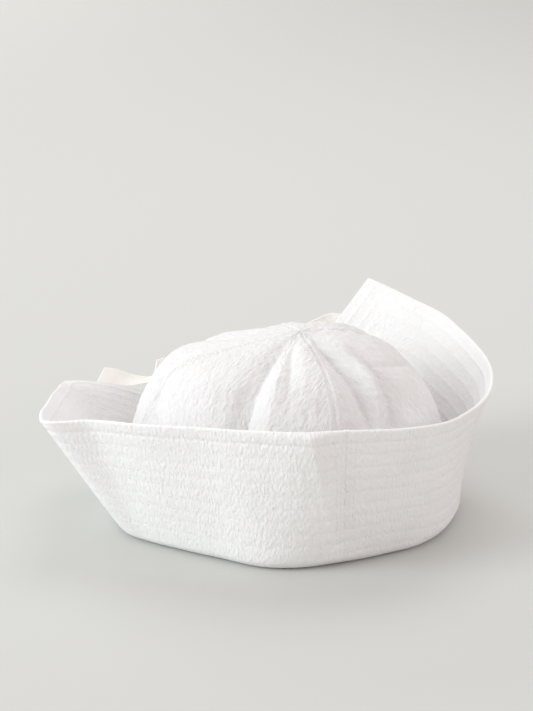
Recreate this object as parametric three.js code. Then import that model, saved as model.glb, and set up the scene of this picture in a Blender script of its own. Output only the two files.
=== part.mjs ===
// A soft cotton sailor cap: a crown of four gores, a brim of two halves turned up all round and
// split at the back, and two tape ties knotted across the split.
// Millimetres, +Z up, front toward -Y. An azimuth is 0 at the front and grows toward +X.
import * as THREE from 'three';

// Driving sizes
const size = {
  brimWall: 2.0,        // two layers of quilted cotton
  crownWall: 1.2,       // one layer of crinkled cotton
  tapeWall: 1.0,        // twill tape
  tapeWidth: 14,
  gap: 0.35,            // clearance between pieces that touch
  sewnGap: 1.2,         // clearance between the tape and the curved brim it is sewn to
  seamGap: 0.18,        // half the clearance along a seam
  footWidth: 5,         // flat strip of the brim that lies on the table
  foldRadius: 10,       // roundness of the fold between the foot and the wall
  frontSeam: 17,        // azimuth of the seam at the front of the brim
  split: 196.5,         // azimuth of the split at the back
  splitGap: 1.2,        // the halves end this many degrees short of the split
  goreSeam: 17,         // azimuth of the first of the four crown seams
  gores: 4,
  crownInset: 1.3,      // crown lower edge, inward from the fold
  crownMidHeight: 45,
  crestRadius: 34,      // radius at which the crest heights are given
  crownTop: 111,
  apexShift: 4,         // the top leans this far toward +X
  focusHeight: 40,      // the folds of the crown sink toward the axis at this height
};
const facets = { brimLeft: 42, brimRight: 38, goreRound: 15, goreUp: 18, tape: 18, knotRound: 14, knotUp: 10 };
const foldFocus = new THREE.Vector3(0, 0, size.focusHeight);

// Brim sections round the cap. Each joins a point of the fold to a point of the rim.
// swing: rim azimuth less fold azimuth, reach: rim radius, roll: bow of the wall between them
const brimRows = table(['azimuth', 'foot', 'swing', 'reach', 'height', 'roll'], [
  [-163.5, 98, 50.3, 152.5, 60.5, 10.5],
  [-141, 97, 35, 148, 64, 7.5],
  [-118, 97, 19, 144.5, 67, 4],
  [-92, 98, 9, 145, 72, 2],
  [-71, 100, 2.5, 154.5, 76, 0],
  [-63, 99.5, 1, 156.5, 78, 0],
  [-55, 95, -0.5, 137, 80.5, 0],
  [-42, 89, 0, 125, 83, 0],
  [-26, 87.5, 0, 116, 85, 0],
  [-9, 93, 0.5, 116, 86.5, 0],
  [2, 92.5, 0, 118.5, 87, 0],
  [17, 88, -2.5, 118.5, 87, 0],
  [36, 87, -1.5, 123.5, 85, 0],
  [47, 89.5, -1.5, 122, 83, 1],
  [60, 90, -1.5, 117, 81, 3],
  [78, 89.5, -2.5, 116, 79.5, 4],
  [97, 92, -3.5, 119.5, 79, 3],
  [117, 95, -6.5, 127.5, 81, 2],
  [137, 97, -11, 134.5, 87, 2],
  [156, 98, -18, 141, 94, 1],
  [174, 98, -25.5, 142.5, 100, 0],
  [196.5, 98, -35.3, 150.5, 107, 0],
]);

// Crown sections round the cap: radius at mid height, radius and height of the shoulder, crest height
const crownRows = table(['azimuth', 'mid', 'shoulder', 'shoulderHeight', 'crest'], [
  [-150, 92, 74, 90, 105.5],
  [-110, 96, 76, 92, 104.5],
  [-80, 97.5, 76, 92, 105],
  [-45, 91, 75, 91, 107],
  [-10, 90, 73, 91, 109],
  [25, 88, 72, 91, 109],
  [60, 90.5, 70, 89, 108],
  [95, 91.5, 69, 91, 109],
  [130, 91, 70, 93, 110],
  [170, 93, 73, 90.5, 109],
]);
const turned = (row, turn) => ({ ...row, azimuth: row.azimuth + turn });
const crownRing = [
  turned(crownRows.at(-1), -360),
  ...crownRows,
  turned(crownRows[0], 360),
  turned(crownRows[1], 360),
];
const crownStops = [0, 0.28, 0.58, 0.82, 1];   // share of the crown profile at its five heights

// Folds of the crown, from azimuth azHigh at height share high down to azLow at low
const crownFolds = table(['azHigh', 'azLow', 'high', 'low', 'depth', 'width'], [
  [-20, -19, 0.86, 0.30, 6, 8],
  [-25, -26, 0.68, 0.30, 4.5, 17],
  [-10, -10, 0.80, 0.35, -2, 6],
  [-6, -3, 0.88, 0.64, 3, 6],
  [29, 33, 0.88, 0.45, 5.5, 8],
  [55, 40, 0.72, 0.32, 4.5, 7],
  [44, 34, 0.74, 0.36, -2, 7],
  [56, 86, 0.70, 0.60, 2, 6],
  [-84, -58, 0.62, 0.34, 2.5, 9],
  [-120, -128, 0.80, 0.30, 3, 11],
  [124, 132, 0.82, 0.30, 4, 11],
  [168, 160, 0.84, 0.35, 3.5, 10],
  [-152, -160, 0.72, 0.35, 3, 10],
  [197, 197, 0.76, 0.45, 2.5, 7],
  [106, 104, 0.66, 0.46, 3.2, 14],
]);

// Free stretches of the tape: centre of the tape, and the direction across it
const tapeColumns = ['x', 'y', 'z', 'acrossX', 'acrossY', 'acrossZ'];
const strapRight = table(tapeColumns, [
  [6, 127, 72.5, 0.25, 0.1, 0.96],
  [-12, 122, 66, 0.2, 0, 0.98],
  [-28, 116.5, 60, 0.1, 0, 1],
]);
const strapLeft = table(tapeColumns, [
  [-67, 92, 44, 0.6, 0.1, -0.8],
  [-57, 100.5, 49, 0.3, -0.1, -0.95],
  [-47, 107, 54, 0, -0.1, -1],
]);
const endLong = table(tapeColumns, [
  [-46.5, 112, 58, 0, 0.1, 1],
  [-62, 105, 54, 0, 0.5, 0.85],
  [-77, 96, 52.5, 0, 0.97, 0.1],
  [-89, 88.5, 54, 0, 0.98, -0.1],
  [-101.5, 84, 55.5, 0, 0.9, 0.2],
  [-112, 80, 58.5, 0.1, 0.75, 0.5],
  [-123.5, 76.5, 60.5, 0.3, 0.75, 0.45],
]);
const endShort = table(tapeColumns, [
  [-46.5, 117.5, 61.5, 0, 0.2, 0.98],
  [-60, 117, 61.5, 0, 0.2, 0.98],
  [-75, 109, 57.5, -0.1, 0.2, 0.97],
  [-90.5, 98, 56, -0.25, 0.15, 0.95],
]);
const knot = { x: -38, y: 114, z: 58.5, length: 15, depth: 11, height: 15 };
const sewn = { right: 0.75, left: 0.47, inset: [8, 4] };   // share of the end edge, degrees inside it

const cotton = new THREE.MeshStandardMaterial({ color: 0xf3f3f3, roughness: 0.95, metalness: 0 });
const tape = new THREE.MeshStandardMaterial({ color: 0xf2ede4, roughness: 0.9, metalness: 0 });

function table(columns, rows) {
  return rows.map((row) => Object.fromEntries(columns.map((name, k) => [name, row[k]])));
}

function toward(azimuth) {
  const angle = THREE.MathUtils.degToRad(azimuth);
  return new THREE.Vector3(Math.sin(angle), -Math.cos(angle), 0);
}

function wrap(angle, low) {
  return THREE.MathUtils.euclideanModulo(angle - low, 360) + low;
}

// Smooth curve through values at stops, with slopes taken across each stop's neighbours
function smoothCurve(stops, values, at) {
  const last = stops.length - 1;
  let k = 0;
  while (k < last - 1 && at >= stops[k + 1]) k += 1;
  const slope = (i) => {
    const a = Math.max(i - 1, 0);
    const b = Math.min(i + 1, last);
    return (values[b] - values[a]) / (stops[b] - stops[a]);
  };
  const span = stops[k + 1] - stops[k];
  const t = (at - stops[k]) / span;
  const t2 = t * t;
  const t3 = t2 * t;
  return (2 * t3 - 3 * t2 + 1) * values[k] + (t3 - 2 * t2 + t) * span * slope(k)
    + (3 * t2 - 2 * t3) * values[k + 1] + (t3 - t2) * span * slope(k + 1);
}

function column(rows, name, at) {
  return smoothCurve(rows.map((row) => row.azimuth), rows.map((row) => row[name]), at);
}

// Steps from the outer to the inner face of a cloth: square to it, or toward a point inside
function squareStep(grid, thickness) {
  return (i, j) => {
    const line = grid[i];
    const stepA = new THREE.Vector3().subVectors(
      grid[Math.min(i + 1, grid.length - 1)][j], grid[Math.max(i - 1, 0)][j]);
    const stepB = new THREE.Vector3().subVectors(
      line[Math.min(j + 1, line.length - 1)], line[Math.max(j - 1, 0)]);
    return stepA.cross(stepB).setLength(-thickness);
  };
}

function focusStep(grid, thickness) {
  return (i, j) => foldFocus.clone().sub(grid[i][j]).setLength(thickness);
}

// A closed solid between a grid of points that faces out and the same grid one step inward
function clothSolid(grid, inward) {
  const across = grid.length;
  const along = grid[0].length;
  const outer = grid.flat();
  const inner = grid.flatMap((line, i) => line.map((point, j) => point.clone().add(inward(i, j))));
  const index = [];
  const quad = (a, b, c, d) => index.push(a, b, c, a, c, d);
  const out = (i, j) => i * along + j;
  const inn = (i, j) => outer.length + i * along + j;
  for (let i = 0; i < across - 1; i += 1) {
    for (let j = 0; j < along - 1; j += 1) {
      quad(out(i, j), out(i + 1, j), out(i + 1, j + 1), out(i, j + 1));
      quad(inn(i, j), inn(i, j + 1), inn(i + 1, j + 1), inn(i + 1, j));
    }
    quad(out(i + 1, 0), out(i, 0), inn(i, 0), inn(i + 1, 0));
    quad(out(i, along - 1), out(i + 1, along - 1), inn(i + 1, along - 1), inn(i, along - 1));
  }
  for (let j = 0; j < along - 1; j += 1) {
    quad(out(across - 1, j + 1), out(across - 1, j), inn(across - 1, j), inn(across - 1, j + 1));
    quad(out(0, j), out(0, j + 1), inn(0, j + 1), inn(0, j));
  }
  const geometry = new THREE.BufferGeometry();
  geometry.setFromPoints([...outer, ...inner]);
  geometry.setIndex(index);
  geometry.computeVertexNormals();
  return geometry;
}

function piece(name, geometry, material) {
  const mesh = new THREE.Mesh(geometry, material);
  mesh.name = name;
  return mesh;
}

function steps(from, to, count) {
  return Array.from({ length: count + 1 }, (_, k) => from + ((to - from) * k) / count);
}

// Brim: outer face at share 0 to 1 from the fold to the rim; below 0 it is the flat foot
function brimPoint(azimuth, share) {
  const out = toward(azimuth);
  const fold = out.clone().multiplyScalar(column(brimRows, 'foot', azimuth));
  if (share < 0) return fold.addScaledVector(out, share * size.footWidth);
  const height = column(brimRows, 'height', azimuth);
  const rim = toward(azimuth + column(brimRows, 'swing', azimuth))
    .multiplyScalar(column(brimRows, 'reach', azimuth));
  rim.z = height;
  const lean = Math.atan2(rim.clone().sub(fold).dot(out) - size.foldRadius, height);
  const turn = Math.PI / 2 - lean;
  const bend = (angle) => fold.clone()
    .addScaledVector(out, size.foldRadius * Math.sin(angle))
    .setZ(size.foldRadius * (1 - Math.cos(angle)));
  const wallStart = bend(turn);
  const wall = rim.clone().sub(wallStart);
  const arcShare = (size.foldRadius * turn) / (size.foldRadius * turn + wall.length());
  if (share <= arcShare) return bend((turn * share) / arcShare);
  const k = (share - arcShare) / (1 - arcShare);
  const along = wall.clone().normalize();
  const lift = new THREE.Vector3(0, 0, 1).addScaledVector(along, -along.z).normalize();
  const bow = 4 * k * (1 - k) * column(brimRows, 'roll', azimuth);
  return wallStart.addScaledVector(wall, k).addScaledVector(lift, bow);
}

const brimShares = [-1, 0, 0.05, 0.1, 0.16, 0.26, 0.38, 0.5, 0.62, 0.74, 0.87, 1];

function brimHalf(from, to, count) {
  const grid = steps(from, to, count).map((azimuth) => brimShares.map((share) => brimPoint(azimuth, share)));
  return clothSolid(grid, squareStep(grid, size.brimWall));
}

// Crown: radius and height of its outer face at share 0, the lower edge, to 1, the top
function crownSection(azimuth, share) {
  const turn = wrap(azimuth, crownRows[0].azimuth);
  const at = (name) => column(crownRing, name, turn);
  const foot = column(brimRows, 'foot', wrap(azimuth, brimRows[0].azimuth));
  const base = size.brimWall + 2 * size.gap;
  const radii = [foot - size.crownInset, at('mid'), at('shoulder'), size.crestRadius, 0];
  const heights = [base, size.crownMidHeight, at('shoulderHeight'), at('crest'), size.crownTop];
  return {
    radius: smoothCurve(crownStops, radii, share),
    height: smoothCurve(crownStops, heights, share),
  };
}

function crownPoint(azimuth, share) {
  const { radius, height } = crownSection(azimuth, share);
  const point = toward(azimuth).multiplyScalar(radius);
  point.x += size.apexShift * share * share;
  point.z = height;
  const inward = foldFocus.clone().sub(point).normalize();
  return point.addScaledVector(inward, foldDepth(azimuth, share, radius));
}

function foldDepth(azimuth, share, radius) {
  const fade = 0.12;
  return crownFolds.reduce((sum, fold) => {
    const t = THREE.MathUtils.clamp((share - fold.low) / (fold.high - fold.low), 0, 1);
    const centre = THREE.MathUtils.lerp(fold.azLow, fold.azHigh, t);
    const off = THREE.MathUtils.degToRad(wrap(azimuth - centre, -180)) * radius;
    const window = THREE.MathUtils.smoothstep(share, fold.low - fade, fold.low + fade)
      * (1 - THREE.MathUtils.smoothstep(share, fold.high - fade, fold.high + fade));
    return sum + fold.depth * Math.exp(-((off / fold.width) ** 2)) * window;
  }, 0);
}

const crownLimit = 0.993;   // the gores end just short of the exact top

function crownGore(from, to) {
  const shares = steps(0, crownLimit, facets.goreUp);
  const grid = steps(0, 1, facets.goreRound).map((t) => shares.map((share) => {
    const clear = THREE.MathUtils.radToDeg(size.seamGap / crownSection(from, share).radius);
    return crownPoint(THREE.MathUtils.lerp(from + clear, to - clear, t), share);
  }));
  return clothSolid(grid, focusStep(grid, size.crownWall));
}

// Tape: a ribbon along rows of a centre and a direction across
function freeRows(rows) {
  return rows.map((row) => ({
    centre: new THREE.Vector3(row.x, row.y, row.z),
    across: new THREE.Vector3(row.acrossX, row.acrossY, row.acrossZ).normalize(),
  }));
}

// A place on the outer face of the brim where the tape is sewn, its width along the end edge
function sewnRow(azimuth, share, sign) {
  const nudge = 0.01;
  const here = brimPoint(azimuth, share);
  const along = brimPoint(azimuth, share + nudge).sub(here).normalize();
  const round = here.clone().sub(brimPoint(azimuth - nudge, share));
  const outward = round.cross(along).normalize();
  return {
    centre: here.addScaledVector(outward, size.tapeWall + size.sewnGap),
    across: along.multiplyScalar(sign),
  };
}

function ribbon(rows) {
  const path = new THREE.CatmullRomCurve3(rows.map((row) => row.centre), false, 'centripetal');
  const grid = steps(0, 1, facets.tape).map((t) => {
    const place = t * (rows.length - 1);
    const k = Math.min(Math.floor(place), rows.length - 2);
    const tangent = path.getTangent(t);
    const across = rows[k].across.clone().lerp(rows[k + 1].across, place - k);
    across.addScaledVector(tangent, -across.dot(tangent)).normalize();
    return [-0.5, 0, 0.5].map((side) => path.getPoint(t).addScaledVector(across, side * size.tapeWidth));
  });
  return clothSolid(grid, squareStep(grid, size.tapeWall));
}

function knotBody() {
  const geometry = new THREE.SphereGeometry(0.5, facets.knotRound, facets.knotUp);
  geometry.scale(knot.length, knot.depth, knot.height);
  geometry.translate(knot.x, knot.y, knot.z);
  return geometry;
}

const cap = new THREE.Group();
const seamTurn = THREE.MathUtils.radToDeg(size.seamGap / brimRows[0].foot);
const leftEnd = size.split - 360 + size.splitGap;
const rightEnd = size.split - size.splitGap;
cap.add(piece('brim_left', brimHalf(leftEnd, size.frontSeam - seamTurn, facets.brimLeft), cotton));
cap.add(piece('brim_right', brimHalf(size.frontSeam + seamTurn, rightEnd, facets.brimRight), cotton));
['front_right', 'back_right', 'back_left', 'front_left'].forEach((side, k) => {
  const from = size.goreSeam + (360 / size.gores) * k;
  cap.add(piece(`crown_panel_${side}`, crownGore(from, from + 360 / size.gores), cotton));
});

const rightRows = sewn.inset.map((inset) => sewnRow(rightEnd - inset, sewn.right, 1));
const leftRows = sewn.inset.map((inset) => sewnRow(leftEnd + inset, sewn.left, -1));
rightRows.push(sewnRow(size.split, sewn.right, 1), ...freeRows(strapRight));
leftRows.push(sewnRow(size.split - 360, sewn.left, -1), ...freeRows(strapLeft));
cap.add(piece('tie_strap_right', ribbon(rightRows), tape));
cap.add(piece('tie_strap_left', ribbon(leftRows), tape));
cap.add(piece('tie_end_long', ribbon(freeRows(endLong)), tape));
cap.add(piece('tie_end_short', ribbon(freeRows(endShort)), tape));
cap.add(piece('tie_knot', knotBody(), tape));

const box = new THREE.Box3().setFromObject(cap);
const centre = box.getCenter(new THREE.Vector3());
cap.position.set(-centre.x, -centre.y, -box.min.z);

export default cap;
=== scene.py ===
import bmesh
import bpy
import math
import numpy as np
from mathutils import Matrix, Vector


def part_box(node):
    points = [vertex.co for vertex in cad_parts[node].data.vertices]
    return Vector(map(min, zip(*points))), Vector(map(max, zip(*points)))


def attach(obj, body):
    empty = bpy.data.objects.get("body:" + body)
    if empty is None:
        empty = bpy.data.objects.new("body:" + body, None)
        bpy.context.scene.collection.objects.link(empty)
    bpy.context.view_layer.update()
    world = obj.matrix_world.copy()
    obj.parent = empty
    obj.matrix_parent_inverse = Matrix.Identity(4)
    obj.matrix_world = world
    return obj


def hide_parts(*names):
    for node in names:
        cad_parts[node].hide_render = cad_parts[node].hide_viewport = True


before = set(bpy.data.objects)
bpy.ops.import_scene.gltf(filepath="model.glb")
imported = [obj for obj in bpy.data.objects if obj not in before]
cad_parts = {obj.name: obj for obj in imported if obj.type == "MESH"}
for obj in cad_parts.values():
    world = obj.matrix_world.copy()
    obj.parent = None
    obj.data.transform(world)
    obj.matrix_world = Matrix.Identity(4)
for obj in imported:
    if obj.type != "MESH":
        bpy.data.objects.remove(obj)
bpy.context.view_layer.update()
scene = bpy.context.scene
mm = 0.001

# The cap is drawn in millimetres, front toward -Y, azimuth 0 at the front and growing toward +X.
# The knot's place in the frame says where that drawing stands.
knotSet = {
    "centre": (-38, 114, 58.5),
    "half": (7.5, 5.5, 7.5),
    "coreShare": 0.8, "coreTurns": 40, "coreRings": 24, "poleGap": 0.02, "gathers": 9, "gatherDepth": 0.06,
    "wrapWidth": 11, "wrapWall": 1.1, "wrapTurns": 72, "wrapAcross": 16, "wrapSwing": 0.5,
    "wraps": ((12, 8, 1.0), (58, -6, 0.85)),   # tilt, lean, share of the width
    "bulge": 0.7, "pleat": 0.05, "pleats": 5, "uvSteps": (0.6, 0.8), "coreUv": (2, 6),
}
knotLow, knotHigh = (Vector(corner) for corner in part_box("tie_knot"))
capShift = np.array((knotLow + knotHigh) / 2) - np.array(knotSet["centre"]) * mm


def tableOf(names, rows):
    return dict(zip(names, np.array(rows, float).T))


def toward(azimuth):
    angle = np.radians(azimuth)
    return np.stack([np.sin(angle), -np.cos(angle), np.zeros_like(angle)], -1)


def unit(vectors):
    return vectors / np.maximum(np.linalg.norm(vectors, axis=-1, keepdims=True), 1e-9)


def smoothStep(value, low, high):
    t = np.clip((value - low) / (high - low), 0, 1)
    return t * t * (3 - 2 * t)


# Smooth curve through values at stops; the values may themselves be arrays, one for each place
def smoothCurve(stops, values, at):
    stops = np.asarray(stops, float)
    values = np.asarray(values, float)
    tall = (-1,) + (1,) * (values.ndim - 1)
    gaps = np.diff(stops).reshape(tall)
    rise = np.diff(values, axis=0) / gaps
    across = (values[2:] - values[:-2]) / (stops[2:] - stops[:-2]).reshape(tall)
    slopes = np.concatenate([rise[:1], across, rise[-1:]])
    k = np.clip(np.searchsorted(stops, at, side="right") - 1, 0, len(stops) - 2)
    def pick(table, index):
        if table.ndim == 1:
            return table[index]
        return np.take_along_axis(table, index[None], 0)[0]
    span = stops[k + 1] - stops[k]
    t = (at - stops[k]) / span
    t2 = t * t
    t3 = t2 * t
    return ((2 * t3 - 3 * t2 + 1) * pick(values, k) + (t3 - 2 * t2 + t) * span * pick(slopes, k)
            + (3 * t2 - 2 * t3) * pick(values, k + 1) + (t3 - t2) * span * pick(slopes, k + 1))


# Seeded noise on a lattice with cells of a given size, about -1 to 1
def clothNoise(u, v, cellU, cellV, seed):
    side = 97
    lattice = np.random.default_rng(seed).uniform(-1, 1, (side, side))
    a = u / cellU
    b = v / cellV
    i = np.floor(a).astype(int)
    j = np.floor(b).astype(int)
    s = smoothStep(a - i, 0, 1)
    t = smoothStep(b - j, 0, 1)
    def corner(di, dj):
        return lattice[(i + di) % side, (j + dj) % side]
    low = corner(0, 0) * (1 - s) + corner(1, 0) * s
    high = corner(0, 1) * (1 - s) + corner(1, 1) * s
    return low * (1 - t) + high * t


roundedEdge = (0, 0.12, 0.35, 0.7, 1.1)


# Distances along a cloth edge to edge, close together at both edges so that they come out round
def edgedSteps(length, count, edge=roundedEdge):
    edge = np.array(edge)
    middle = np.linspace(edge[-1], length - edge[-1], count - 2 * len(edge) + 2)[1:-1]
    return np.concatenate([edge, middle, length - edge[::-1]])


def gridNormals(grid):
    return unit(np.cross(np.gradient(grid, axis=0), np.gradient(grid, axis=1)))


def runLength(grid, axis):
    steps = np.linalg.norm(np.diff(grid, axis=axis), axis=-1)
    start = np.zeros_like(np.take(steps, [0], axis=axis))
    return np.cumsum(np.concatenate([start, steps], axis=axis), axis=axis)


def toFrame(points):
    return np.asarray(points) * mm + capShift


def makePiece(name, points, faces, material, uv=None):
    mesh = bpy.data.meshes.new(name)
    mesh.from_pydata([tuple(p) for p in toFrame(points).tolist()], [], faces)
    mesh.polygons.foreach_set("use_smooth", [True] * len(mesh.polygons))
    if uv is not None:
        layer = mesh.uv_layers.new(name="clothUv")
        corners = np.zeros(len(mesh.loops), dtype=np.int32)
        mesh.loops.foreach_get("vertex_index", corners)
        layer.data.foreach_set("uv", np.asarray(uv)[corners].ravel() * mm)
    mesh.update()
    piece = bpy.data.objects.new(name, mesh)
    scene.collection.objects.link(piece)
    mesh.materials.append(material)
    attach(piece, "root")
    return piece


# A closed cloth: an outer and an inner face that share the points of their edges, rounded there.
# closeDepth is how far below the outer face the two meet, half the wall unless a seam pulls it up.
def clothShell(name, grid, normals, wall, edgeGap, material, uv, closeDepth=None):
    across, along = grid.shape[:2]
    depth = np.full(grid.shape[:2], wall / 2) if closeDepth is None else closeDepth
    t = 1 - np.clip(edgeGap / depth, 0, 1)
    puff = np.sqrt(np.clip(1 - t * t, 0, 1))
    outer = grid - normals * (depth * (1 - puff))[..., None]
    inner = grid - normals * (depth + (wall - depth) * puff)[..., None]
    outIndex = np.arange(across * along).reshape(across, along)
    inIndex = outIndex.copy()
    inIndex[1:-1, 1:-1] = across * along + np.arange((across - 2) * (along - 2)).reshape(across - 2, -1)
    def quads(index):
        return np.stack([index[:-1, :-1], index[1:, :-1], index[1:, 1:], index[:-1, 1:]], -1).reshape(-1, 4)
    faces = np.concatenate([quads(outIndex), quads(inIndex)[:, ::-1]]).tolist()
    points = np.concatenate([outer.reshape(-1, 3), inner[1:-1, 1:-1].reshape(-1, 3)])
    uvAll = np.concatenate([uv.reshape(-1, 2), uv[1:-1, 1:-1].reshape(-1, 2)])
    piece = makePiece(name, points, faces, material, uvAll)
    if closeDepth is not None:
        # at a seam the end of the cloth doesn't round off the look of its face
        tightDepth = wall / 5
        tight = np.zeros((across, along), bool)
        tight[[0, -1]] = depth[[0, -1]] < tightDepth
        tight = np.concatenate([tight.ravel(), np.zeros(len(points) - tight.size, bool)])
        ends = np.zeros(2 * len(piece.data.edges), dtype=np.int32)
        piece.data.edges.foreach_get("vertices", ends)
        sharp = piece.data.attributes.new("sharp_edge", "BOOLEAN", "EDGE")
        sharp.data.foreach_set("value", tight[ends].reshape(-1, 2).all(1))
    return piece, outer


# Places on a grid at fractional indices
def onGrid(grid, i, j):
    i0 = np.clip(np.floor(i).astype(int), 0, grid.shape[0] - 2)
    j0 = np.clip(np.floor(j).astype(int), 0, grid.shape[1] - 2)
    s = (i - i0)[:, None]
    t = (j - j0)[:, None]
    low = grid[i0, j0] * (1 - s) + grid[i0 + 1, j0] * s
    high = grid[i0, j0 + 1] * (1 - s) + grid[i0 + 1, j0 + 1] * s
    return low * (1 - t) + high * t


stitchSet = {
    "length": 2.1, "pause": 0.7, "margin": 0.5, "radius": 0.17, "proud": 0.06, "sunk": 0.2, "sides": 5,
    "shoulder": 0.16,   # how far along a stitch it has its full thickness
}


# Stitches end to end along runs of places with their outward directions, all in one mesh
def stitchPiece(name, runs, material):
    starts, ends, lifts = [], [], []
    for places, outward in runs:
        walked = np.concatenate([[0], np.cumsum(np.linalg.norm(np.diff(places, axis=0), axis=1))])
        last = walked[-1] - stitchSet["length"] - stitchSet["margin"]
        at = np.arange(stitchSet["margin"], last, stitchSet["length"] + stitchSet["pause"])
        def placeAt(s, table):
            return np.stack([np.interp(s, walked, table[:, c]) for c in range(3)], -1)
        starts.append(placeAt(at, places))
        ends.append(placeAt(at + stitchSet["length"], places))
        lifts.append(unit(placeAt(at + stitchSet["length"] / 2, outward)))
    start, end, lift = (np.concatenate(part) for part in (starts, ends, lifts))
    ahead = unit(end - start)
    side = unit(np.cross(ahead, lift))
    sides = stitchSet["sides"]
    turn = np.arange(sides) * 2 * math.pi / sides
    points = [start - lift * stitchSet["sunk"]]
    shoulder = stitchSet["shoulder"]
    for share, raised in ((shoulder, 0.0), (0.5, stitchSet["proud"]), (1 - shoulder, 0.0)):
        middle = start * (1 - share) + end * share + lift * raised
        for angle in turn:
            points.append(middle + (side * math.cos(angle) + lift * math.sin(angle)) * stitchSet["radius"])
    points.append(end - lift * stitchSet["sunk"])
    points = np.stack(points, 1)
    template = []
    for k in range(sides):
        n = (k + 1) % sides
        template.append((0, 1 + n, 1 + k))
        for ring in (0, 1):
            a = 1 + ring * sides
            template.append((a + k, a + n, a + sides + n, a + sides + k))
        template.append((1 + 3 * sides, 1 + 2 * sides + k, 1 + 2 * sides + n))
    count = points.shape[1]
    faces = [tuple(index + base for index in face) for base in range(0, len(start) * count, count)
             for face in template]
    uv = np.repeat(np.stack([start[:, 0], start[:, 2]], -1), count, axis=0)
    return makePiece(name, points.reshape(-1, 3), faces, material, uv)


# Cotton finishes: what they share is here, and what each has of its own is in its look
finishSet = {
    "sheenRoughness": 0.5, "glowTint": (1.0, 0.92, 0.86), "blotchDetail": 4, "blotchEdges": (0.3, 0.7),
    "threadWander": 0.6, "threadHeight": 0.0002, "crushHeight": 0.001, "crushDetail": 3,
}


def clothMaterial(name, look):
    material = bpy.data.materials.new(name)
    material.use_nodes = True
    nodes = material.node_tree.nodes
    links = material.node_tree.links
    shader = nodes["Principled BSDF"]
    shader.inputs["Roughness"].default_value = look["roughness"]
    shader.inputs["Specular IOR Level"].default_value = look["specular"]
    shader.inputs["Sheen Weight"].default_value = look["sheen"]
    shader.inputs["Sheen Roughness"].default_value = finishSet["sheenRoughness"]
    shader.inputs["Subsurface Weight"].default_value = look["glow"]   # light that comes through thin cloth
    shader.inputs["Subsurface Radius"].default_value = finishSet["glowTint"]
    shader.inputs["Subsurface Scale"].default_value = look["glowDepth"]
    coords = nodes.new("ShaderNodeTexCoord")
    def noise(scale, detail, stretch=(1, 1, 1), source="Object", angle=0):
        mapping = nodes.new("ShaderNodeMapping")
        mapping.inputs["Scale"].default_value = stretch
        mapping.inputs["Rotation"].default_value = (0, 0, math.radians(angle))
        links.new(coords.outputs[source], mapping.inputs["Vector"])
        texture = nodes.new("ShaderNodeTexNoise")
        texture.inputs["Scale"].default_value = scale
        texture.inputs["Detail"].default_value = detail
        links.new(mapping.outputs["Vector"], texture.inputs["Vector"])
        return texture.outputs["Fac"]
    ramp = nodes.new("ShaderNodeValToRGB")
    shades = (look["deep"], look["pale"])
    for element, edge, shade in zip(ramp.color_ramp.elements, finishSet["blotchEdges"], shades):
        element.position = edge
        element.color = (*shade, 1)
    links.new(noise(look["blotch"], finishSet["blotchDetail"]), ramp.inputs["Fac"])
    links.new(ramp.outputs["Color"], shader.inputs["Base Color"])
    # threads run along and across the cloth, or on the slant in a twill
    height = None
    for direction, angle in look["threads"]:
        mapping = nodes.new("ShaderNodeMapping")
        mapping.inputs["Rotation"].default_value = (0, 0, math.radians(angle))
        links.new(coords.outputs["UV"], mapping.inputs["Vector"])
        wave = nodes.new("ShaderNodeTexWave")
        wave.bands_direction = direction
        wave.inputs["Scale"].default_value = look["threadScale"]
        wave.inputs["Distortion"].default_value = finishSet["threadWander"]
        links.new(mapping.outputs["Vector"], wave.inputs["Vector"])
        if height is None:
            height = wave.outputs["Fac"]
        else:
            add = nodes.new("ShaderNodeMath")
            add.operation = "ADD"
            links.new(height, add.inputs[0])
            links.new(wave.outputs["Fac"], add.inputs[1])
            height = add.outputs["Value"]
    weave = nodes.new("ShaderNodeBump")
    weave.inputs["Strength"].default_value = look["weaveStrength"]
    weave.inputs["Distance"].default_value = finishSet["threadHeight"]
    links.new(height, weave.inputs["Height"])
    crush = nodes.new("ShaderNodeBump")
    crush.inputs["Strength"].default_value = look["crushStrength"]
    crush.inputs["Distance"].default_value = finishSet["crushHeight"]
    # the crush runs on two slants that cross
    slants = [noise(look["crushScale"], finishSet["crushDetail"], look["crushStretch"], "UV", angle)
              for angle in look["crushAngles"]]
    crossed = nodes.new("ShaderNodeMath")
    crossed.operation = "ADD"
    links.new(slants[0], crossed.inputs[0])
    links.new(slants[1], crossed.inputs[1])
    links.new(crossed.outputs["Value"], crush.inputs["Height"])
    links.new(weave.outputs["Normal"], crush.inputs["Normal"])
    links.new(crush.outputs["Normal"], shader.inputs["Normal"])
    return material


plainThreads = (("X", 0), ("Y", 0))
# The brim's cotton is the lighter of two copies of one white cotton: set paler than the crown's as painted
# light, for the brim's down-facing outer face and shaded inner pocket.
brimCottonLitCopy = clothMaterial("stitchedBrimCottonPaintedLight", {
    "deep": (0.925, 0.918, 0.922), "pale": (0.968, 0.963, 0.967), "blotch": 45, "roughness": 0.95,
    "specular": 0.2, "sheen": 0.12, "threads": plainThreads, "threadScale": 420, "weaveStrength": 0.25,
    "crushScale": 760, "crushStretch": (1, 0.45, 1), "crushAngles": (28, -28), "crushStrength": 0.7,
    "glow": 0.3, "glowDepth": 0.0014,
})
# The crown's cotton is the darker copy of the same white cotton: set greyer than the brim's as painted
# shade, for the crown's up-facing, more brightly lit faces.
crownCottonShadedCopy = clothMaterial("crinkledCrownCottonPaintedShade", {
    "deep": (0.81, 0.797, 0.80), "pale": (0.86, 0.849, 0.853), "blotch": 40, "roughness": 0.95,
    "specular": 0.2, "sheen": 0.12, "threads": plainThreads, "threadScale": 420, "weaveStrength": 0.25,
    "crushScale": 560, "crushStretch": (1, 0.5, 1), "crushAngles": (35, -20), "crushStrength": 0.8,
    "glow": 0.2, "glowDepth": 0.0014,
})
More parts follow.
